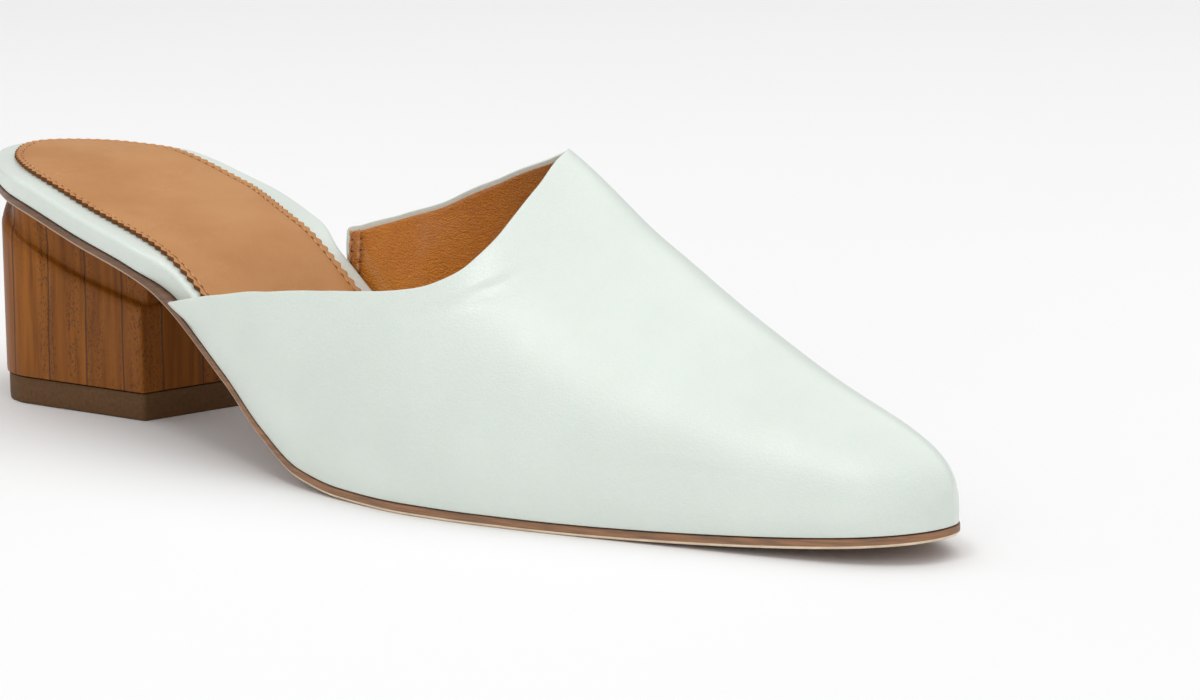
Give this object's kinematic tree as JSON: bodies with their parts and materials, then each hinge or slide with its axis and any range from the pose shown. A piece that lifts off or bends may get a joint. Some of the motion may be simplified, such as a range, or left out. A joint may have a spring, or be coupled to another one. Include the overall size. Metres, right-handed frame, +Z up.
{
  "type": "mule shoe",
  "caption": "Backless pointed-toe women's mule with a smooth leather vamp, wrapped footbed, thin sole and low wooden block heel.",
  "frame": {"origin": "middle of the footprint on the floor under the shoe", "axes": "+X from the heel to the toe, +Y to the inner side of the foot, +Z up"},
  "size_m": [0.2568, 0.074, 0.0645],
  "materials": {
    "mint_leather": "satin smooth nappa",
    "tan_leather": "smooth matte lining leather",
    "sole_leather": "burnished edge",
    "heel_wood": "satin stained grain",
    "lift_rubber": "matte dark brown"
  },
  "bodies": {
    "root": {"outsole": "sole_leather", "footbed": "mint_leather", "sock": "tan_leather", "upper": "mint_leather", "heel_block": "heel_wood", "top_lift": "lift_rubber"}
  },
  "joints": []
}
